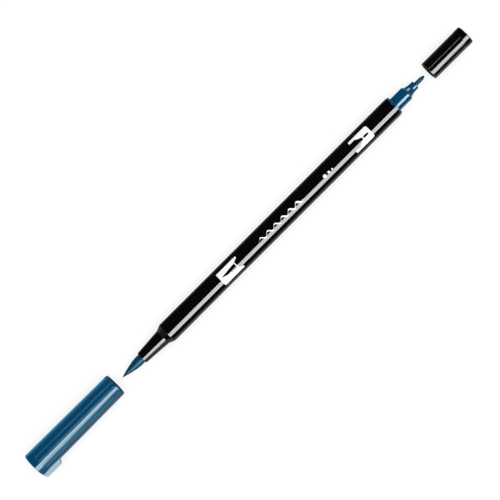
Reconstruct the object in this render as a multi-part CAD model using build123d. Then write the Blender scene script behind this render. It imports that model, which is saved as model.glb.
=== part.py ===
from build123d import *
import math
import os

# A twin-tip calligraphy marker: a flexible brush nib at one end, a fine nib at the other and a cap for each.
# Millimetres. The pen lies along X, +X towards the fine nib, and +Z is up.
# The origin is on the pen's axis at the middle of its uncapped length.
# Both caps are drawn pulled straight off, just clear of the nibs.

# Barrel
BARREL_END = 77.0  # open end, closed by the fine-tip plug
BARREL_R = 5.0
BARREL_BORE_R = 4.35
CAP_SEAT_START = -53.5  # the brush cap's mouth comes to rest here
CAP_SEAT_R = 5.04  # slightly proud land that the brush cap grips
SHOULDER_TOP = -67.5
NOSE_BASE = -70.3
NOSE_BASE_R = 3.85
NOSE_MOUTH = -83.7
NOSE_MOUTH_R = 2.9
NOSE_BORE_R = 2.4
NOSE_RIB_R = 2.29  # ribs in the nose that grip the brush nib
NOSE_RIBS = 6
BORE_RIB_R = 4.08  # ribs in the barrel that centre the ink reservoir
BORE_RIBS = 8

# Brush nib
BRUSH_TIP = -96.4
BRUSH_R = 2.27
BRUSH_POINT_R = 0.08
BRUSH_TAPER_END = -85.8
BRUSH_SHANK_END = -64.0
BRUSH_TAIL_END = -55.5
BRUSH_TAIL_R = 1.5

# Ink reservoir
RESERVOIR_START = -61.0
RESERVOIR_END = 62.5
CORE_R = 3.95
FILM_R = 4.06

# Fine nib and the plug that holds it
FINE_TIP = 96.65
FINE_NIB_R = 1.0
FINE_TAPER_START = 94.3
FINE_NIB_TAIL = 56.5
FINE_POINT_R = 0.38
PLUG_FLANGE_R = 4.8
PLUG_FLANGE = 0.95
PLUG_SPIGOT_R = 4.33
PLUG_HOLLOW_R = 3.4
PLUG_HOLLOW_END = 72.0
PLUG_BODY_R = 3.42
PLUG_BODY_END = 85.4
NECK_BASE_R = 2.08
NECK_END_R = 2.0
NECK_BASE = 89.2
NECK_END = 91.1

SLIP = 0.02  # radial clearance of a close sliding fit

# Brush cap, given where it sits when it is pushed home
BRUSH_CAP_LENGTH = 51.9
BRUSH_CAP_MOUTH_R = 5.66
BRUSH_CAP_END_R = 6.1
BRUSH_CAP_COLLAR = 3.4  # smooth band at the closed end, where the ribs stop
BRUSH_CAP_RIB_R = 0.25  # each fine rib is a rod of this radius sunk into the wall
BRUSH_CAP_RIB_RISE = 0.075
BRUSH_CAP_BORE_R = 4.95
BRUSH_CAP_PULL = 47.0  # how far the cap is pulled off
LUG_LENGTH = 10.6
LUG_HEIGHT = 1.75
LUG_BASE_WIDTH = 3.2
LUG_CREST_WIDTH = 2.4
LINER_MOUTH = -73.0
LINER_END = -99.5
LINER_SEAL = 3.0  # length of the lip that seals on the tapered nose
LINER_OUTER_R = 4.5
LINER_STOP_R = 3.2  # ribs this far in stop the liner's closed end

# Fine cap, given where it sits when it is pushed home
FINE_CAP_LENGTH = 23.6
FINE_CAP_MOUTH_R = 4.58
FINE_CAP_END_R = 4.6
FINE_CAP_COLLAR = 3.0
FINE_CAP_RIB_R = 0.19
FINE_CAP_RIB_RISE = 0.04
FINE_CAP_PULL = 21.5
FINE_LINER_MOUTH = 89.2
FINE_LINER_END = 98.2
FINE_LINER_OUTER_R = 2.75
FINE_LINER_STOP_R = 1.9

# Details that both caps share
RIBS = 16
COLLAR_RISE = 0.09
COLLAR_RAMP = 0.25
END_WALL = 1.0
END_RECESS = 1.2
LINER_WALL = 0.6
VENTS = 3
VENT_SWEEP = 60  # degrees round the cap that each vent slot takes up


def turned(outline):
    """A solid turned about the pen's axis. Each corner of the outline is (x, radius, rounding)."""
    face = make_face(Polyline([(x, r) for x, r, _ in outline], close=True))
    for x, r, rounding in outline:
        if rounding:
            corner = face.vertices().sort_by_distance((x, r, 0))[0]
            face = fillet(corner, rounding)
    return revolve(face, Axis.X)


def ring(x_start, x_end, inner_r, outer_r):
    """A plain tube, or a rod when inner_r is 0."""
    return turned([(x_start, inner_r, 0), (x_end, inner_r, 0), (x_end, outer_r, 0), (x_start, outer_r, 0)])


def around(shape, count, first_angle=0.0):
    """Copies of a shape spread evenly round the pen's axis."""
    step = 360 / count
    return [Rot(first_angle + i * step, 0, 0) * shape for i in range(count)]


def ribs(x_start, x_end, inner_r, outer_r, count, width, first_angle=0.0):
    """Lengthwise ribs standing inward from a bore of outer_r to inner_r."""
    overlap = 0.1  # sinks each rib into the wall so that they join
    length = x_end - x_start
    slab = Pos(x_start + length / 2, 0, outer_r / 2) * Box(length, width, outer_r + 2 * overlap)
    band = ring(x_start, x_end, inner_r, outer_r + overlap)
    return [band & piece for piece in around(slab, count, first_angle)]


def nose_r(x):
    """Radius of the barrel's tapered nose at x."""
    return NOSE_MOUTH_R + (NOSE_BASE_R - NOSE_MOUTH_R) * (x - NOSE_MOUTH) / (NOSE_BASE - NOSE_MOUTH)


def barrel():
    """The tube: tapered nose, rounded shoulder, cap seat and straight grip, ribbed inside."""
    bore_start = RESERVOIR_START - 1.0
    nose_bore_end = RESERVOIR_START - 5.5  # a cone joins the two bores
    nose_ribs_start = NOSE_MOUTH + 0.6
    nose_ribs_end = SHOULDER_TOP - 0.5
    outline = [
        (NOSE_MOUTH, NOSE_BORE_R, 0),
        (NOSE_MOUTH, NOSE_MOUTH_R, 0.25),
        (NOSE_BASE, NOSE_BASE_R, 1.2),
        (SHOULDER_TOP, CAP_SEAT_R, 0.8),
        (CAP_SEAT_START - 0.3, CAP_SEAT_R, 0),
        (CAP_SEAT_START, BARREL_R, 0),
        (BARREL_END, BARREL_R, 0.12),
        (BARREL_END, BARREL_BORE_R, 0),
        (bore_start, BARREL_BORE_R, 0.8),
        (nose_bore_end, NOSE_BORE_R, 0.8),
    ]
    body = turned(outline)
    body += ribs(RESERVOIR_START, RESERVOIR_END, BORE_RIB_R, BARREL_BORE_R, BORE_RIBS, 0.8)
    body += ribs(nose_ribs_start, nose_ribs_end, NOSE_RIB_R, NOSE_BORE_R, NOSE_RIBS, 0.6)
    return body


def brush_nib():
    """The flexible nib: a sharp ogive, a straight shank gripped in the nose and a thin tail in the ink core."""
    taper = BRUSH_TAPER_END - BRUSH_TIP
    point_start = 110  # degrees round the tiny ball that ends the point
    point = CenterArc((BRUSH_TIP + BRUSH_POINT_R, 0), BRUSH_POINT_R, point_start, 180 - point_start)
    side = Spline(
        [point @ 0, (BRUSH_TIP + 0.55 * taper, 0.69 * BRUSH_R), (BRUSH_TAPER_END, BRUSH_R)],
        tangents=[(1.0, 0.31), (1.0, 0.0)],
    )
    inside = Polyline(
        (BRUSH_TAPER_END, BRUSH_R),
        (BRUSH_SHANK_END - 0.7, BRUSH_R),
        (BRUSH_SHANK_END, BRUSH_TAIL_R),
        (BRUSH_TAIL_END - 0.4, BRUSH_TAIL_R),
        (BRUSH_TAIL_END, BRUSH_TAIL_R - 0.4),
        (BRUSH_TAIL_END, 0),
        (BRUSH_TIP, 0),
    )
    return revolve(make_face([point, side, inside]), Axis.X)


def reservoir_core():
    """The fibre bundle, with a hole in each end for a nib's tail."""
    rod = ring(RESERVOIR_START, RESERVOIR_END, 0, CORE_R)
    brush_hole = ring(RESERVOIR_START, BRUSH_TAIL_END + 0.1, 0, BRUSH_TAIL_R + SLIP)
    fine_hole = ring(FINE_NIB_TAIL - 0.1, RESERVOIR_END, 0, FINE_NIB_R + SLIP)
    return rod - brush_hole - fine_hole


def reservoir_film():
    """The thin plastic sleeve round the fibre bundle."""
    return ring(RESERVOIR_START, RESERVOIR_END, CORE_R + SLIP / 2, FILM_R)


def fine_tip_plug():
    """Closes the barrel: a hollow spigot, a flange, the fine cap's seat and a neck round the nib."""
    flange_top = BARREL_END + PLUG_FLANGE
    flange_edge = 0.15
    neck_edge = 0.15
    throat_start = PLUG_BODY_END + 0.25
    throat_r = PLUG_BODY_R - 0.2
    bore_r = FINE_NIB_R + SLIP
    edges = [
        Polyline(
            (RESERVOIR_END, PLUG_SPIGOT_R),
            (BARREL_END, PLUG_SPIGOT_R),
            (BARREL_END, PLUG_FLANGE_R),
            (flange_top - flange_edge, PLUG_FLANGE_R),
            (flange_top, PLUG_FLANGE_R - flange_edge),
            (flange_top, PLUG_BODY_R),
            (PLUG_BODY_END, PLUG_BODY_R),
            (throat_start, throat_r),
        ),
        Spline(
            [(throat_start, throat_r), (throat_start + 1.0, 2.52), (NECK_BASE, NECK_BASE_R)],
            tangents=[(0.45, -1.0), (1.0, -0.03)],
        ),
        Polyline(
            (NECK_BASE, NECK_BASE_R),
            (NECK_END - neck_edge, NECK_END_R),
            (NECK_END, NECK_END_R - neck_edge),
            (NECK_END, bore_r),
            (PLUG_HOLLOW_END, bore_r),
            (PLUG_HOLLOW_END, PLUG_HOLLOW_R),
            (RESERVOIR_END, PLUG_HOLLOW_R),
            (RESERVOIR_END, PLUG_SPIGOT_R),
        ),
    ]
    plug = revolve(make_face(edges), Axis.X)
    # Air channels beside the nib let air back into the barrel as the ink runs out.
    channel_length = NECK_END - PLUG_HOLLOW_END
    channel = Pos(PLUG_HOLLOW_END + channel_length / 2, 0, bore_r) * Box(channel_length, 0.35, 0.5)
    return plug - around(channel, 4)


def fine_nib():
    """The fine nib: a fibre rod with a rounded, slightly swollen point."""
    point_end = 70  # degrees round the ball that ends the point
    point = CenterArc((FINE_TIP - FINE_POINT_R, 0), FINE_POINT_R, 0, point_end)
    shoulder = Spline(
        [(FINE_TAPER_START, FINE_NIB_R), point @ 1],
        tangents=[(1.0, -0.05), (1.0, -0.75)],
    )
    rod = Polyline(
        (FINE_TIP, 0),
        (FINE_NIB_TAIL, 0),
        (FINE_NIB_TAIL, FINE_NIB_R),
        (FINE_TAPER_START, FINE_NIB_R),
    )
    return revolve(make_face([point, shoulder, rod]), Axis.X)


def grip_ribs(mouth_x, mouth_r, end_x, end_r, collar, rib_r, rise, first_angle):
    """Fine lengthwise ribs on a cap, from just inside its mouth to the collar at its closed end."""
    toward_end = 1 if end_x > mouth_x else -1
    run_out = 0.5
    cap_length = abs(end_x - mouth_x)
    taper = (end_r - mouth_r) / cap_length
    length = cap_length - run_out - collar - COLLAR_RAMP / 2
    rod = Pos(0, 0, length / 2) * Cylinder(rib_r, length) + Sphere(rib_r)
    start_x = mouth_x + toward_end * run_out
    start_r = mouth_r + taper * run_out - rib_r + rise
    lean = Rot(0, (90 - math.degrees(math.atan(taper))) * toward_end, 0)
    return around(Pos(start_x, 0, start_r) * lean * rod, RIBS, first_angle)


def collar_outline(mouth_x, mouth_r, end_x, end_r, collar):
    """The corners of a cap's outer wall from its mouth to the raised collar at its closed end."""
    toward_end = 1 if end_x > mouth_x else -1
    collar_x = end_x - toward_end * collar
    collar_r = end_r + (mouth_r - end_r) * collar / abs(end_x - mouth_x)
    return [
        (mouth_x, mouth_r, 0.15),
        (collar_x - toward_end * COLLAR_RAMP, collar_r, 0),
        (collar_x, collar_r + COLLAR_RISE, 0),
        (end_x, end_r + COLLAR_RISE, 0.25),
    ]


def vent_slots(x_start, x_end, inner_r, outer_r):
    """Curved slots through a cap's end wall, so that air can pass if the cap is swallowed."""
    band = ring(x_start, x_end, inner_r, outer_r)
    reach = 2 * outer_r
    side = reach * math.tan(math.radians(VENT_SWEEP / 2))
    wedge = make_face(Polyline([(0, 0), (side, reach), (-side, reach)], close=True))
    prism = extrude(Plane.YZ.offset(x_start) * wedge, x_end - x_start)
    return [band & piece for piece in around(prism, VENTS)]


def brush_cap_lug(end_x, top_r):
    """The anti-roll lug: a bar on the cap's -Y side at its closed end, drafted to a narrower crest."""
    ramp = 1.3
    chamfer = 1.1
    base_r = top_r - 0.75  # sinks the lug into the wall so that they join
    crest = top_r + LUG_HEIGHT
    side_outline = Polyline(
        [
            (end_x, -base_r),
            (end_x, chamfer - crest),
            (end_x + chamfer, -crest),
            (end_x + LUG_LENGTH - ramp, -crest),
            (end_x + LUG_LENGTH, 0.1 - top_r),
            (end_x + LUG_LENGTH, -base_r),
        ],
        close=True,
    )
    draft = (LUG_BASE_WIDTH - LUG_CREST_WIDTH) / 2 / LUG_HEIGHT
    base_half = LUG_BASE_WIDTH / 2 + draft * (top_r - base_r)
    crest_half = LUG_CREST_WIDTH / 2
    end_outline = Polyline(
        [(-base_r, base_half), (-crest, crest_half), (-crest, -crest_half), (-base_r, -base_half)],
        close=True,
    )
    bar = extrude(make_face(side_outline), base_half, both=True)
    bar &= extrude(Plane.YZ.offset(end_x) * make_face(end_outline), LUG_LENGTH)
    upper_edges = bar.edges().filter_by(lambda edge: edge.center().Y < -top_r - 0.8)
    crest_edges = upper_edges.filter_by(lambda edge: abs(edge.center().Z) > 1.0)
    return fillet(crest_edges, 0.3)


def brush_cap_shell():
    """The long cap: fine outer ribs, the lug, the bore that grips the barrel and ribs that hold its liner."""
    mouth = CAP_SEAT_START
    end = mouth - BRUSH_CAP_LENGTH
    outer_wall = (mouth, BRUSH_CAP_MOUTH_R, end, BRUSH_CAP_END_R, BRUSH_CAP_COLLAR)
    wall_face = end + END_RECESS + END_WALL
    seat_bore_r = CAP_SEAT_R + 0.05
    grip_end = SHOULDER_TOP - 1.2  # the wider grip bore runs past the barrel's shoulder
    outline = [
        (mouth, seat_bore_r, 0.1),
        *collar_outline(*outer_wall),
        (end, BRUSH_CAP_BORE_R, 0.1),
        (end + END_RECESS, BRUSH_CAP_BORE_R - 0.1, 0),
        (end + END_RECESS, 0, 0),
        (wall_face, 0, 0),
        (wall_face, BRUSH_CAP_BORE_R, 0.3),
        (grip_end - 0.4, BRUSH_CAP_BORE_R, 0),
        (grip_end, seat_bore_r, 0),
    ]
    shell = turned(outline)
    shell += grip_ribs(*outer_wall, BRUSH_CAP_RIB_R, BRUSH_CAP_RIB_RISE, 0)
    shell += brush_cap_lug(end, BRUSH_CAP_END_R + COLLAR_RISE)
    shell -= vent_slots(end, wall_face, 3.5, 4.5)
    rib_start = wall_face - 0.1
    rib_angle = 30  # between the vent slots
    shell += ribs(rib_start, LINER_MOUTH + 0.7, LINER_OUTER_R, BRUSH_CAP_BORE_R, 6, 1.0, rib_angle)
    shell += ribs(rib_start, LINER_END, LINER_STOP_R, BRUSH_CAP_BORE_R, 6, 1.0, rib_angle)
    return Pos(-BRUSH_CAP_PULL, 0, 0) * shell


def brush_cap_liner():
    """The long cap's inner cup, which seals on the tapered nose so that the brush stays wet."""
    seal_end = LINER_MOUTH - LINER_SEAL
    outline = [
        (LINER_MOUTH, nose_r(LINER_MOUTH) + SLIP, 0),
        (LINER_MOUTH, LINER_OUTER_R, 0.15),
        (LINER_END, LINER_OUTER_R, 0.4),
        (LINER_END, 0, 0),
        (LINER_END + LINER_WALL, 0, 0),
        (LINER_END + LINER_WALL, LINER_OUTER_R - LINER_WALL, 0.3),
        (seal_end - 0.5, LINER_OUTER_R - LINER_WALL, 0),
        (seal_end, nose_r(seal_end) + SLIP, 0),
    ]
    return Pos(-BRUSH_CAP_PULL, 0, 0) * turned(outline)


def fine_cap_shell():
    """The short cap, which slides over the plug's body, with fine outer ribs and ribs that hold its liner."""
    mouth = BARREL_END + PLUG_FLANGE + 0.05
    end = mouth + FINE_CAP_LENGTH
    outer_wall = (mouth, FINE_CAP_MOUTH_R, end, FINE_CAP_END_R, FINE_CAP_COLLAR)
    wall_face = end - END_RECESS - END_WALL
    bore_r = PLUG_BODY_R + 0.03
    recess_r = FINE_CAP_END_R - 0.8
    outline = [
        (mouth, bore_r, 0.1),
        *collar_outline(*outer_wall),
        (end, recess_r, 0.1),
        (end - END_RECESS, recess_r - 0.1, 0),
        (end - END_RECESS, 0, 0),
        (wall_face, 0, 0),
        (wall_face, bore_r, 0.2),
    ]
    shell = turned(outline)
    shell += grip_ribs(*outer_wall, FINE_CAP_RIB_R, FINE_CAP_RIB_RISE, 12.3)
    shell -= vent_slots(wall_face, end, 2.3, 3.1)
    rib_end = wall_face + 0.1
    shell += ribs(FINE_LINER_MOUTH, rib_end, FINE_LINER_OUTER_R, bore_r, 4, 0.8, 45)
    shell += ribs(FINE_LINER_END, rib_end, FINE_LINER_STOP_R, bore_r, 4, 0.8, 45)
    return Pos(FINE_CAP_PULL, 0, 0) * shell


def fine_cap_liner():
    """The short cap's inner cup, which seals on the plug's neck."""
    wall = 0.5
    lip_r = NECK_BASE_R + 0.05
    outline = [
        (FINE_LINER_MOUTH, lip_r, 0),
        (FINE_LINER_MOUTH, FINE_LINER_OUTER_R, 0.15),
        (FINE_LINER_END, FINE_LINER_OUTER_R, 0.3),
        (FINE_LINER_END, 0, 0),
        (FINE_LINER_END - wall, 0, 0),
        (FINE_LINER_END - wall, lip_r, 0.2),
    ]
    return Pos(FINE_CAP_PULL, 0, 0) * turned(outline)


parts = {
    "barrel": barrel(),
    "brush_nib": brush_nib(),
    "ink_reservoir_core": reservoir_core(),
    "ink_reservoir_film": reservoir_film(),
    "fine_tip_plug": fine_tip_plug(),
    "fine_nib": fine_nib(),
    "brush_cap_shell": brush_cap_shell(),
    "brush_cap_liner": brush_cap_liner(),
    "fine_cap_shell": fine_cap_shell(),
    "fine_cap_liner": fine_cap_liner(),
}

os.makedirs("parts", exist_ok=True)
for name, shape in parts.items():
    export_step(shape, f"parts/{name}.step")
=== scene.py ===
"""Looks for the twin-tip calligraphy marker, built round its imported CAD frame.

Metres, in the CAD row frame: the pen lies along X, +X towards the fine nib, +Z up.
"""

import math

import bmesh
import bpy
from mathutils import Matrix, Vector


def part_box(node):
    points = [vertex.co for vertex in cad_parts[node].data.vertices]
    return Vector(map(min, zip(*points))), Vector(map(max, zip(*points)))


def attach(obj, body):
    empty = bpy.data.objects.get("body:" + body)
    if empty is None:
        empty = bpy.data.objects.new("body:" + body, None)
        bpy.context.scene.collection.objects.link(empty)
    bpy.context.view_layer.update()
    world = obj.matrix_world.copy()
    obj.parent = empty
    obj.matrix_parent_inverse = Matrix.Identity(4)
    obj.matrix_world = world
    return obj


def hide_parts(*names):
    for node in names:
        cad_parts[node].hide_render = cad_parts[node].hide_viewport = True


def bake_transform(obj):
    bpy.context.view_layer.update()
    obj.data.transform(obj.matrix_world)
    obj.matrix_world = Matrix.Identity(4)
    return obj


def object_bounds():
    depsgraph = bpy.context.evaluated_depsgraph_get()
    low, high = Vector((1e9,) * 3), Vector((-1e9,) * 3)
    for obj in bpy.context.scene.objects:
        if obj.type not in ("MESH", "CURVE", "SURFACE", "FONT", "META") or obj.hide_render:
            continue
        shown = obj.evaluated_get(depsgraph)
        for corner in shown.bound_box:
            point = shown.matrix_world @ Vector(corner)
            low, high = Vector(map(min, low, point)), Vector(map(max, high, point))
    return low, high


MM = 0.001

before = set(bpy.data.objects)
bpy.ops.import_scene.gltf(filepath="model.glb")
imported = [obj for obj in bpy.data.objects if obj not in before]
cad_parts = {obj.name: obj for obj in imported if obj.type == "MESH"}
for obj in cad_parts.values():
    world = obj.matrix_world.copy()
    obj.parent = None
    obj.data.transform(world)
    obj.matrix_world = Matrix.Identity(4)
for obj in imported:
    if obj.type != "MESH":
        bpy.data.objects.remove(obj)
cad_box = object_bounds()
brush_low, brush_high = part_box("brush_nib")

# Places from the frame, and the sizes inside a piece that its box doesn't give
BARREL_R = 5.0 * MM
BRUSH_TIP_X = brush_low.x
BRUSH_TAPER_END_X = BRUSH_TIP_X + 10.6 * MM
BRUSH_TAIL_END_X = brush_high.x
BRUSH_SHANK_END_X = BRUSH_TAIL_END_X - 8.5 * MM
BRUSH_R = brush_high.y
BRUSH_TAIL_R = 1.5 * MM
FINE_TIP_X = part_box("fine_nib")[1].x

# Colours, linear
BLACK = (0.0014, 0.0014, 0.0016)
BLACK_SHADE = (0.002, 0.002, 0.0022)
BLUE = (0.0004, 0.0485, 0.1225)
BLUE_SHADE = (0.0008, 0.054, 0.133)
BLUE_TINT = (0.68, 0.93, 1.0)
FIBRE_BLUE = (0.0010, 0.028, 0.088)
FIBRE_TEAL = (0.0010, 0.043, 0.085)
FIBRE_TINT = (0.3, 0.9, 1.0)
INK_DARK = (0.0004, 0.013, 0.032)
FILM_CLEAR = (0.10, 0.22, 0.36)
FILM_CLOUDY = (0.25, 0.36, 0.46)
PRINT_WHITE = (0.86, 0.86, 0.85)
LINER_WHITE = (0.72, 0.73, 0.72)
WHITE = (1.0, 1.0, 1.0)
PALE_BLUE = (0.5, 0.95, 1.0)


# ---------------------------------------------------------------- materials


def new_material(name):
    """A new node material: returns (material, nodes, link, principled shader)."""
    material = bpy.data.materials.new(name)
    material.use_nodes = True
    tree = material.node_tree
    shader = tree.nodes["Principled BSDF"]
    return material, tree.nodes, tree.links.new, shader


def noise(nodes, link, per_metre, detail=3.0, along=1.0):
    """A noise pattern of about per_metre blobs in a metre, drawn out along the pen where along is below 1."""
    coordinates = nodes.new("ShaderNodeTexCoord")
    mapping = nodes.new("ShaderNodeMapping")
    mapping.inputs["Scale"].default_value = (along, 1.0, 1.0)
    link(coordinates.outputs["Object"], mapping.inputs["Vector"])
    texture = nodes.new("ShaderNodeTexNoise")
    texture.inputs["Scale"].default_value = per_metre
    texture.inputs["Detail"].default_value = detail
    link(mapping.outputs["Vector"], texture.inputs["Vector"])
    return texture.outputs["Fac"]


def remap(nodes, link, value, low, high, from_low=0.3, from_high=0.7):
    """A pattern value carried into the range low to high."""
    node = nodes.new("ShaderNodeMapRange")
    node.inputs["From Min"].default_value = from_low
    node.inputs["From Max"].default_value = from_high
    node.inputs["To Min"].default_value = low
    node.inputs["To Max"].default_value = high
    link(value, node.inputs["Value"])
    return node.outputs["Result"]


def darker(colour, share):
    """The colour with each channel cut to that share."""
    return tuple(share * channel for channel in colour)


def mixed_colour(nodes, link, factor, first, second):
    """A colour between first and second. Each is a colour or a socket."""
    node = nodes.new("ShaderNodeMix")
    node.data_type = "RGBA"
    link(factor, node.inputs["Factor"])
    for name, colour in (("A", first), ("B", second)):
        socket = [s for s in node.inputs if s.name == name and s.type == "RGBA"][0]
        if isinstance(colour, tuple):
            socket.default_value = (*colour, 1.0)
        else:
            link(colour, socket)
    return [s for s in node.outputs if s.type == "RGBA"][0]


def bump(nodes, link, shader, height, distance, strength=1.0):
    """Raises the surface by distance metres where height is 1."""
    node = nodes.new("ShaderNodeBump")
    node.inputs["Strength"].default_value = strength
    node.inputs["Distance"].default_value = distance
    link(height, node.inputs["Height"])
    link(node.outputs["Normal"], shader.inputs["Normal"])


def glossy_plastic(name, colour, shade, roughness, ripple, shine=0.5, tint=WHITE):
    """Moulded plastic: faint colour drift, handling marks in the gloss and a slight ripple in the surface."""
    material, nodes, link, shader = new_material(name)
    drift = noise(nodes, link, per_metre=160, along=0.3)
    link(mixed_colour(nodes, link, drift, colour, shade), shader.inputs["Base Color"])
    marks = noise(nodes, link, per_metre=900, detail=5, along=0.25)
    link(remap(nodes, link, marks, *roughness), shader.inputs["Roughness"])
    swell = noise(nodes, link, per_metre=420, detail=2, along=0.5)
    bump(nodes, link, shader, swell, ripple)
    shader.inputs["Specular IOR Level"].default_value = shine
    shader.inputs["Specular Tint"].default_value = (*tint, 1.0)
    return material


def ink_fibre(name, dark_from_x, dark_to_x, roughness=(0.3, 0.45), streak_depth=0.02 * MM):
    """Bonded fibre soaked with ink: fine lengthwise streaks over cloudy blues.

    It darkens between dark_from_x and dark_to_x, and stays dark past dark_to_x.
    """
    material, nodes, link, shader = new_material(name)
    streaks = noise(nodes, link, per_metre=5200, along=0.05)
    clouds = noise(nodes, link, per_metre=620, detail=2, along=0.4)
    cloudy = remap(nodes, link, clouds, 0.0, 1.0, from_low=0.4, from_high=0.6)
    streak_colours = darker(FIBRE_BLUE, 0.6), darker(FIBRE_TEAL, 0.6)
    fibres = mixed_colour(
        nodes,
        link,
        remap(nodes, link, streaks, 0.0, 1.0),
        mixed_colour(nodes, link, cloudy, FIBRE_BLUE, FIBRE_TEAL),
        mixed_colour(nodes, link, cloudy, *streak_colours),
    )
    coordinates = nodes.new("ShaderNodeTexCoord")
    split = nodes.new("ShaderNodeSeparateXYZ")
    link(coordinates.outputs["Object"], split.inputs["Vector"])
    wet = remap(nodes, link, split.outputs["X"], 0.0, 1.0, dark_from_x, dark_to_x)
    link(mixed_colour(nodes, link, wet, fibres, INK_DARK), shader.inputs["Base Color"])
    link(remap(nodes, link, streaks, *roughness), shader.inputs["Roughness"])
    shader.inputs["Specular IOR Level"].default_value = 0.3
    shader.inputs["Specular Tint"].default_value = (*FIBRE_TINT, 1.0)
    bump(nodes, link, shader, streaks, streak_depth, strength=0.5)
    return material


def liner_plastic():
    """Natural polypropylene: slightly milky, light soaks a little way in."""
    material, nodes, link, shader = new_material("liner plastic")
    drift = noise(nodes, link, per_metre=700)
    milky = mixed_colour(nodes, link, drift, LINER_WHITE, darker(LINER_WHITE, 0.93))
    link(milky, shader.inputs["Base Color"])
    link(remap(nodes, link, drift, 0.32, 0.46), shader.inputs["Roughness"])
    bump(nodes, link, shader, drift, 0.004 * MM)
    shader.inputs["Subsurface Weight"].default_value = 0.2
    shader.inputs["Subsurface Radius"].default_value = (1.0, 1.0, 1.0)
    shader.inputs["Subsurface Scale"].default_value = 0.4 * MM
    return material


def film_plastic():
    """The sleeve round the ink bundle, coloured as thin film over blue fibre and cloudy in places."""
    material, nodes, link, shader = new_material("reservoir film")
    haze = noise(nodes, link, per_metre=300, detail=4, along=0.2)
    link(mixed_colour(nodes, link, haze, FILM_CLEAR, FILM_CLOUDY), shader.inputs["Base Color"])
    link(remap(nodes, link, haze, 0.1, 0.3), shader.inputs["Roughness"])
    bump(nodes, link, shader, haze, 0.01 * MM)
    return material


def print_ink():
    """White pad-printed ink: near flat, with a faint grain and a thin gloss."""
    material, nodes, link, shader = new_material("white print")
    grain = noise(nodes, link, per_metre=4000, detail=4)
    grainy = mixed_colour(nodes, link, grain, PRINT_WHITE, darker(PRINT_WHITE, 0.95))
    link(grainy, shader.inputs["Base Color"])
    link(remap(nodes, link, grain, 0.35, 0.5), shader.inputs["Roughness"])
    bump(nodes, link, shader, grain, 0.002 * MM)
    return material


def dress(material, *names):
    """Gives CAD nodes their material."""
    for name in names:
        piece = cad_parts[name]
        piece.data.materials.clear()
        piece.data.materials.append(material)


def dress_cad():
    """Materials of the CAD pieces. The caps and the plug are slightly less polished than the barrel."""
    polished, moulded = (0.03, 0.06), (0.05, 0.09)
    smooth, wavy = 0.0003 * MM, 0.0004 * MM
    dress(glossy_plastic("barrel black", BLACK, BLACK_SHADE, polished, smooth), "barrel")
    dress(glossy_plastic("cap black", BLACK, BLACK_SHADE, moulded, smooth), "fine_cap_shell")
    plug_blue = glossy_plastic("plug blue", BLUE, BLUE_SHADE, moulded, smooth, shine=0.58, tint=BLUE_TINT)
    dress(plug_blue, "fine_tip_plug")
    cap_blue = glossy_plastic("cap blue", BLUE, BLUE_SHADE, moulded, wavy, shine=0.44, tint=BLUE_TINT)
    dress(cap_blue, "brush_cap_shell")
    dress(liner_plastic(), "brush_cap_liner", "fine_cap_liner")
    dress(film_plastic(), "ink_reservoir_film")
    beyond_x = 200 * MM  # past the pen's end, so the bundle doesn't darken anywhere along its length
    dress(ink_fibre("ink bundle fibre", beyond_x, beyond_x + 100 * MM), "ink_reservoir_core")
    dress(ink_fibre("fine nib fibre", FINE_TIP_X - 2.2 * MM, FINE_TIP_X + 0.6 * MM), "fine_nib")


dress_cad()


# ---------------------------------------------------------------- brush nib


def brush_radius(x):
    """Radius of the free nib at x: a sharp ogive, then the straight shank."""
    if x < BRUSH_TAPER_END_X:
        t = (x - BRUSH_TIP_X) / (BRUSH_TAPER_END_X - BRUSH_TIP_X)
        return BRUSH_R * (1 - (1 - t) ** 1.5)
    return BRUSH_R


def brush_stations():
    """(x, radius) stations along the nib, closest at its tip, then the thin tail in the ink bundle."""
    rings = 90
    crowding = 1.3  # above 1, the rings crowd towards the tip
    blunting = 0.03 * MM
    tip_edge = 0.0005 * MM
    tip_r = 0.04 * MM
    finest_r = 0.05 * MM
    step_length = 0.7 * MM  # from the full shank down to the tail
    chamfer = 0.4 * MM
    first = BRUSH_TIP_X + blunting
    shoulder = BRUSH_SHANK_END_X - step_length
    stations = [(first + tip_edge, tip_r)]
    for i in range(1, rings + 1):
        x = first + (i / rings) ** crowding * (shoulder - first)
        stations.append((x, max(brush_radius(x), finest_r)))
    stations.append((BRUSH_SHANK_END_X, BRUSH_TAIL_R))
    stations.append((BRUSH_TAIL_END_X - chamfer, BRUSH_TAIL_R))
    stations.append((BRUSH_TAIL_END_X, BRUSH_TAIL_R - chamfer))
    return stations


def lathe(name, stations, segments, material):
    """A closed turned mesh from (x, radius) stations, with a flat disc closing each end."""
    mesh = bmesh.new()
    rings = []
    for x, radius in stations:
        ring = []
        for i in range(segments):
            angle = 2 * math.pi * i / segments
            ring.append(mesh.verts.new((x, radius * math.cos(angle), radius * math.sin(angle))))
        rings.append(ring)
    for first, second in zip(rings, rings[1:]):
        for i in range(segments):
            j = (i + 1) % segments
            mesh.faces.new((first[i], first[j], second[j], second[i]))
    for ring, x in ((rings[0], stations[0][0]), (rings[-1], stations[-1][0])):
        centre = mesh.verts.new((x, 0, 0))
        for i in range(segments):
            mesh.faces.new((ring[i], ring[(i + 1) % segments], centre))
    bmesh.ops.recalc_face_normals(mesh, faces=mesh.faces)
    data = bpy.data.meshes.new(name)
    mesh.to_mesh(data)
    mesh.free()
    for polygon in data.polygons:
        polygon.use_smooth = True
    data.materials.append(material)
    piece = bpy.data.objects.new(name, data)
    bpy.context.scene.collection.objects.link(piece)
    return piece


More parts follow.
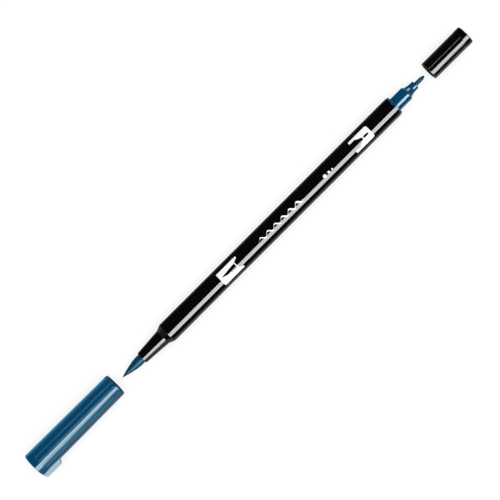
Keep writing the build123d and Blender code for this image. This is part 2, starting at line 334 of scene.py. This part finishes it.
def build_brush():
    """The flexible nib, darkest at its point."""
    dark_from, dark_to = BRUSH_TIP_X + 5.5 * MM, BRUSH_TIP_X - 0.5 * MM
    fibre = ink_fibre("brush fibre", dark_from, dark_to, roughness=(0.28, 0.42), streak_depth=0.03 * MM)
    brush = lathe("brush_nib_fibres", brush_stations(), segments=96, material=fibre)
    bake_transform(brush)
    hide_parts("brush_nib")


build_brush()


# ---------------------------------------------------------------- prints on the barrel

PRINT_LIFT = 0.015 * MM  # how far the ink stands proud of the barrel
PRINT_THICKNESS = 0.05 * MM  # more than its lift, so that no gap shows under its edges

# Outlines are in plain millimetres, with u along X and v round the barrel.
PRINT_TURN = -0.3  # how far round the prints' middle line lies from the top of the barrel
BADGE_HALF = 3.45  # half of a badge's width round the barrel

white_print = print_ink()


def rounded_outline(corners):
    """A closed 2-D outline from (u, v, corner radius) corners, with each rounded corner as an arc."""
    steps = 8
    points = []
    count = len(corners)
    for i, (u, v, radius) in enumerate(corners):
        corner = Vector((u, v))
        if radius == 0:
            points.append(corner)
            continue
        before = (Vector(corners[i - 1][:2]) - corner).normalized()
        after = (Vector(corners[(i + 1) % count][:2]) - corner).normalized()
        half = before.angle(after) / 2
        centre = corner + (before + after).normalized() * radius / math.sin(half)
        start = corner + before * radius / math.tan(half) - centre
        finish = corner + after * radius / math.tan(half) - centre
        sweep = start.angle_signed(finish)
        for k in range(steps + 1):
            turn = -sweep * k / steps
            c, s = math.cos(turn), math.sin(turn)
            points.append(centre + Vector((start.x * c - start.y * s, start.x * s + start.y * c)))
    return points


def filled_mesh(name, outlines):
    """A flat mesh inside the first outline, with the outlines that lie within it left as holes."""
    curve = bpy.data.curves.new(name, "CURVE")
    curve.dimensions = "2D"
    curve.fill_mode = "BOTH"
    for outline in outlines:
        spline = curve.splines.new("POLY")
        spline.points.add(len(outline) - 1)
        for point, (u, v) in zip(spline.points, outline):
            point.co = (u * MM, v * MM, 0, 1)
        spline.use_cyclic_u = True
    flat = bpy.data.objects.new(name + "_flat", curve)
    bpy.context.scene.collection.objects.link(flat)
    depsgraph = bpy.context.evaluated_depsgraph_get()
    data = bpy.data.meshes.new_from_object(flat.evaluated_get(depsgraph))
    bpy.data.objects.remove(flat)
    data.name = name
    return data


def printed(name, outlines, turn=PRINT_TURN):
    """White ink on the barrel. turn is how far round the barrel v = 0 lies from the top line, towards +Y."""
    touching = 0.001 * MM
    strip = 0.2 * MM
    data = filled_mesh(name, outlines)
    mesh = bmesh.new()
    mesh.from_mesh(data)
    bmesh.ops.remove_doubles(mesh, verts=mesh.verts, dist=touching)
    # Cut into thin strips along the barrel, so that the print can wrap round it.
    reach = max(abs(v.co.y) for v in mesh.verts)
    steps = int(reach / strip) + 1
    for k in range(-steps, steps + 1):
        bmesh.ops.bisect_plane(
            mesh,
            geom=mesh.verts[:] + mesh.edges[:] + mesh.faces[:],
            plane_co=(0, k * strip, 0),
            plane_no=(0, 1, 0),
        )
    radius = BARREL_R + PRINT_LIFT
    for vertex in mesh.verts:
        angle = (vertex.co.y + turn * MM) / BARREL_R
        vertex.co.y, vertex.co.z = radius * math.sin(angle), radius * math.cos(angle)
    bmesh.ops.recalc_face_normals(mesh, faces=mesh.faces)
    if sum(face.normal.z for face in mesh.faces) < 0:
        bmesh.ops.reverse_faces(mesh, faces=mesh.faces)
    mesh.to_mesh(data)
    mesh.free()
    data.materials.clear()
    data.materials.append(white_print)
    piece = bpy.data.objects.new(name, data)
    bpy.context.scene.collection.objects.link(piece)
    solid = piece.modifiers.new("ink thickness", "SOLIDIFY")
    solid.thickness = PRINT_THICKNESS
    solid.offset = -1
    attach(piece, "pen")


def nib_outline(base_u, tip_u, half_width, sharpness, lean):
    """The outline of a pointed nib, from its square base to its tip. lean bends the point sideways."""
    steps = 16
    left, right = [], []
    for k in range(steps + 1):
        share = k / steps
        u = base_u + share * (tip_u - base_u)
        half = half_width * (1 - share**sharpness)
        middle = lean * share**2
        left.append((u, middle + half))
        right.append((u, middle - half))
    return left + right[-2::-1]


def brush_badge():
    """A plate with the brush nib's outline left bare, pointing at the brush end."""
    outer_u = -33.6
    inner_u = outer_u + 12.1
    line_u = outer_u + 10.0
    gap = 0.45
    body_half, body_end_half = 1.75, 2.5
    round_r, sharp_r, inner_r, body_r = 0.6, 0.15, 0.35, 0.3
    plate = rounded_outline(
        [
            (outer_u, -BADGE_HALF, round_r),
            (outer_u, BADGE_HALF, sharp_r),
            (inner_u, BADGE_HALF, inner_r),
            (inner_u, body_end_half, body_r),
            (line_u, body_half, 0),
            (line_u, -body_half, 0),
            (inner_u, -body_end_half, body_r),
            (inner_u, -BADGE_HALF, inner_r),
        ]
    )
    nib = nib_outline(line_u - gap, outer_u + 1.0, half_width=1.35, sharpness=1.6, lean=0.6)
    printed("brush_badge", [plate, nib], turn=-0.45)


def fine_badge():
    """A plate with the fine end's flared throat and bullet nib left bare, pointing at the fine end."""
    outer_u = 61.6
    inner_u = outer_u - 11.2
    flare_u = inner_u + 3.1
    neck_u = inner_u + 6.3
    outer_r, inner_r, body_r = 1.0, 0.5, 0.4
    body_half, neck_half = 2.2, 0.76
    hollow = 1.7  # above 1, the flare's sides curve inwards
    steps = 8
    flare = []
    for k in range(steps + 1):
        share = k / steps
        u = flare_u + share * (neck_u - flare_u)
        flare.append((u, neck_half + (body_half - neck_half) * (1 - share) ** hollow, 0))
    plate = rounded_outline(
        [
            (outer_u, BADGE_HALF, outer_r),
            (outer_u, -BADGE_HALF, outer_r),
            (inner_u, -BADGE_HALF, inner_r),
            (inner_u, -body_half, body_r),
            *[(u, -v, 0) for u, v, _ in flare],
            *reversed(flare),
            (inner_u, body_half, body_r),
            (inner_u, BADGE_HALF, inner_r),
        ]
    )
    nib_u, taper_u, point_u = neck_u + 0.65, neck_u + 2.4, neck_u + 3.6
    nib_half, point_half = 0.56, 0.26
    shoulder_r, point_r = 0.8, 0.2
    nib = rounded_outline(
        [
            (nib_u, -nib_half, 0),
            (taper_u, -nib_half, shoulder_r),
            (point_u, -point_half, point_r),
            (point_u, point_half, point_r),
            (taper_u, nib_half, shoulder_r),
            (nib_u, nib_half, 0),
        ]
    )
    printed("fine_badge", [plate, nib])


def stroke_mark():
    """A calligraphy drill: a wave drawn with a slanted pen edge, thick down and thin up, growing bolder."""
    start_u, length = -8.9, 27.3
    waves = 6
    height = 0.8
    pen_edge = math.radians(45)
    thinnest = 0.07
    bold_at_start, bold_added = 0.2, 0.22
    blunt_end, widening = 0.15, 25
    steps = 40 * waves
    left, right = [], []
    for k in range(steps + 1):
        share = k / steps
        turn = 2 * math.pi * waves * share
        slope = math.atan2(height * 2 * math.pi * waves * math.cos(turn), length)
        boldness = bold_at_start + bold_added * share
        half = thinnest + boldness * abs(math.sin(slope - pen_edge))
        half *= min(1.0, blunt_end + widening * share, blunt_end + widening * (1 - share))
        u, v = start_u + share * length, height * math.sin(turn)
        left.append((u - half * math.sin(slope), v + half * math.cos(slope)))
        right.append((u + half * math.sin(slope), v - half * math.cos(slope)))
    printed("stroke_mark", [left + right[::-1]])


def width_dots():
    """Three dots from broad to fine, near the fine badge."""
    steps = 24
    turns = [2 * math.pi * k / steps for k in range(steps)]
    dots = []
    for u, radius in ((32.6, 0.85), (35.2, 0.6), (37.3, 0.38)):
        dots.append([(u + radius * math.cos(turn), radius * math.sin(turn)) for turn in turns])
    printed("width_dots", dots)


brush_badge()
fine_badge()
stroke_mark()
width_dots()


# ---------------------------------------------------------------- stage and light

FLOOR_Z = cad_box[0][2] - 0.02 * MM  # just clear of the lowest piece
CENTRE_X = (cad_box[0][0] + cad_box[1][0]) / 2
FLOOR_SHEEN = 0.6  # the floor's brightness as shiny plastic sees it


def sheet(name, centre, size, rotation=(0, 0, 0)):
    """A flat rectangle of the stage."""
    x, y = size[0] / 2, size[1] / 2
    data = bpy.data.meshes.new(name)
    data.from_pydata([(-x, -y, 0), (x, -y, 0), (x, y, 0), (-x, y, 0)], [], [(0, 1, 2, 3)])
    piece = bpy.data.objects.new(name, data)
    piece.location = centre
    piece.rotation_euler = rotation
    bpy.context.scene.collection.objects.link(piece)
    return piece


def lengthwise(nodes, link, direction, across, along):
    """A strength of across for rays square to the pen, rising to along for rays that run down its length."""
    split = nodes.new("ShaderNodeSeparateXYZ")
    link(direction, split.inputs["Vector"])
    size = nodes.new("ShaderNodeMath")
    size.operation = "ABSOLUTE"
    link(split.outputs["X"], size.inputs[0])
    return remap(nodes, link, size.outputs["Value"], across, along, from_low=0.35, from_high=0.5)


def by_ray(nodes, link, kind, otherwise, for_kind):
    """One shader for rays of a kind, such as "Is Camera Ray", and another for all other rays."""
    path = nodes.new("ShaderNodeLightPath")
    mix = nodes.new("ShaderNodeMixShader")
    link(path.outputs[kind], mix.inputs["Fac"])
    link(otherwise, mix.inputs[1])
    link(for_kind, mix.inputs[2])
    return mix.outputs["Shader"]


def glow(name, colour, across, along):
    """A material that only gives light: across for rays square to the pen, along for rays down its length."""
    material = bpy.data.materials.new(name)
    material.use_nodes = True
    nodes, link = material.node_tree.nodes, material.node_tree.links.new
    nodes.clear()
    emission = nodes.new("ShaderNodeEmission")
    emission.inputs["Color"].default_value = (*colour, 1.0)
    incoming = nodes.new("ShaderNodeNewGeometry").outputs["Incoming"]
    link(lengthwise(nodes, link, incoming, across, along), emission.inputs["Strength"])
    output = nodes.new("ShaderNodeOutputMaterial")
    link(emission.outputs["Emission"], output.inputs["Surface"])
    return material


def only_in_reflections(piece):
    """The piece is seen in shiny surfaces and nowhere else."""
    piece.visible_camera = False
    piece.visible_diffuse = False
    piece.visible_transmission = False
    piece.visible_shadow = False


def build_floor():
    """A plain pale floor, duller as shiny plastic sees it than as the camera does."""
    size = 6.0
    grey, own_light = 0.41, 0.62
    floor = sheet("floor", (CENTRE_X, 0, FLOOR_Z), (size, size))
    material, nodes, link, shader = new_material("pale floor")
    shader.inputs["Base Color"].default_value = (grey, grey, grey, 1)
    shader.inputs["Roughness"].default_value = 0.9
    shader.inputs["Specular IOR Level"].default_value = 0.0
    shader.inputs["Emission Color"].default_value = (*WHITE, 1)
    shader.inputs["Emission Strength"].default_value = own_light
    dull = nodes.new("ShaderNodeEmission")
    dull.inputs["Strength"].default_value = FLOOR_SHEEN
    surface = by_ray(nodes, link, "Is Glossy Ray", shader.outputs["BSDF"], dull.outputs["Emission"])
    link(surface, nodes["Material Output"].inputs["Surface"])
    floor.data.materials.append(material)


def strip_light(name, side, start_x, end_x, across, along, seen_by=None):
    """A long soft box beside the pen, seen only as a crisp streak in plastic.

    side is -1 for the -Y side and 1 for the +Y side. seen_by names the one CAD node that shows the streak:
    without it, all pieces do.
    """
    from_vertical = math.radians(38)
    distance = 0.5
    depth = 0.36
    centre = (
        (start_x + end_x) / 2,
        side * distance * math.sin(from_vertical),
        distance * math.cos(from_vertical),
    )
    strip = sheet(name, centre, (end_x - start_x, depth), (-side * from_vertical, 0, 0))
    strip.data.materials.append(glow(name + " glow", WHITE, across, along))
    only_in_reflections(strip)
    if seen_by:
        receivers = bpy.data.collections.new(name + " receivers")
        receivers.objects.link(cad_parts[seen_by])
        strip.light_linking.receiver_collection = receivers


def build_strip_lights():
    """The main strip, its lengthening for the long cap, and a weak one for views down the pen's length."""
    strength = 14.9
    cap_start, main_start, main_end = -0.8, -0.5, 0.225
    back_start, back_end = 0.2, 0.8
    strip_light("strip_light", -1, main_start, main_end, strength, strength)
    strip_light("cap_strip", -1, cap_start, main_start, strength, strength, seen_by="brush_cap_shell")
    strip_light("back_strip", 1, back_start, back_end, across=0.0, along=9.0)


def card(name, centre, size, strength, colour=WHITE, upright=False):
    """A glowing rectangle seen only in reflections, lying flat or standing along X."""
    turn = (math.radians(90), 0, 0) if upright else (0, 0, 0)
    piece = sheet(name, centre, size, turn)
    piece.data.materials.append(glow(name + " glow", colour, strength, FLOOR_SHEEN))
    only_in_reflections(piece)


def build_floor_cards():
    """Cards on the floor along both sides, so that only a narrow band of pale floor shows in the rims. The
    two cards next to the pen glow dimmer than the floor: painted shade, the pen's shadow on the floor as
    shiny plastic sees it.
    """
    length = 2.4
    reach = 1.2
    lift = 0.3 * MM
    for name, near, far, strength in (
        ("near_flag", -38 * MM, -reach, 0.02),
        # The two rim cards are painted shade: dimmer than FLOOR_SHEEN, they stand for the pen's contact
        # shadow on the floor in reflections.
        ("near_rim_painted_shade", -11 * MM, 0, 0.38),
        ("far_rim_painted_shade", 17 * MM, 0, 0.2),
        ("far_flag", 17 * MM, reach, 0.02),
    ):
        centre = (CENTRE_X, (near + far) / 2, FLOOR_Z + lift)
        card(name, centre, (length, abs(far - near)), strength)


def build_cap_cards():
    """Pale blue cards round the long cap: two stand beside it, one above the other, and one lies behind."""
    length = 157 * MM
    near_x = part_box("brush_cap_shell")[1].x - 2.5 * MM
    middle_x = near_x - length / 2
    away = 0.3
    join = 92 * MM
    top = 165 * MM
    for name, low, high, strength in (("low_card", 0, join, 1.0), ("high_card", join, top, 1.9)):
        centre = (middle_x, -away, FLOOR_Z + (low + high) / 2)
        card(name, centre, (length, high - low), strength, PALE_BLUE, upright=True)
    depth = 31 * MM
    lift = 0.6 * MM
    card("back_card", (middle_x, depth / 2, FLOOR_Z + lift), (length, depth), 1.1, PALE_BLUE)


def build_soft_light():
    """A large overhead panel that lights the floor and matt surfaces but leaves no streak of its own."""
    light = bpy.data.lights.new("overhead", "AREA")
    light.shape = "RECTANGLE"
    light.size = 1.6
    light.size_y = 1.6
    light.energy = 9.0
    lamp = bpy.data.objects.new("overhead", light)
    lamp.location = (CENTRE_X, -0.25, 1.3)
    lamp.rotation_euler = (math.radians(-11), 0, 0)
    lamp.visible_glossy = False
    bpy.context.scene.collection.objects.link(lamp)


def build_world():
    """Even pale surroundings, kept dark in reflections except down the pen's length."""
    world = bpy.data.worlds.new("studio")
    bpy.context.scene.world = world
    world.use_nodes = True
    nodes, link = world.node_tree.nodes, world.node_tree.links.new
    nodes.clear()
    lighting, seen, reflected = [nodes.new("ShaderNodeBackground") for _ in range(3)]
    for background in (lighting, seen, reflected):
        background.inputs["Color"].default_value = (*WHITE, 1)
    lighting.inputs["Strength"].default_value = 0.8
    seen.inputs["Strength"].default_value = 1.0
    direction = nodes.new("ShaderNodeTexCoord").outputs["Generated"]
    link(lengthwise(nodes, link, direction, across=0.01, along=0.2), reflected.inputs["Strength"])
    unseen = by_ray(nodes, link, "Is Glossy Ray", lighting.outputs[0], reflected.outputs[0])
    surroundings = by_ray(nodes, link, "Is Camera Ray", unseen, seen.outputs[0])
    output = nodes.new("ShaderNodeOutputWorld")
    link(surroundings, output.inputs["Surface"])


def build_camera():
    """Straight above, turned so that the pen runs from lower left to upper right."""
    distance = 0.95
    frame_width = 0.226
    sensor = 36.0
    data = bpy.data.cameras.new("camera")
    data.sensor_width = sensor
    data.lens = sensor * distance / frame_width
    data.clip_start = 0.05
    camera = bpy.data.objects.new("camera", data)
    camera.location = (CENTRE_X, 0, distance)
    camera.rotation_euler = (0, 0, math.radians(-45))
    bpy.context.scene.collection.objects.link(camera)
    bpy.context.scene.camera = camera


build_floor()
build_strip_lights()
build_floor_cards()
build_cap_cards()
build_soft_light()
build_world()
build_camera()
bpy.context.scene.view_settings.view_transform = "Standard"
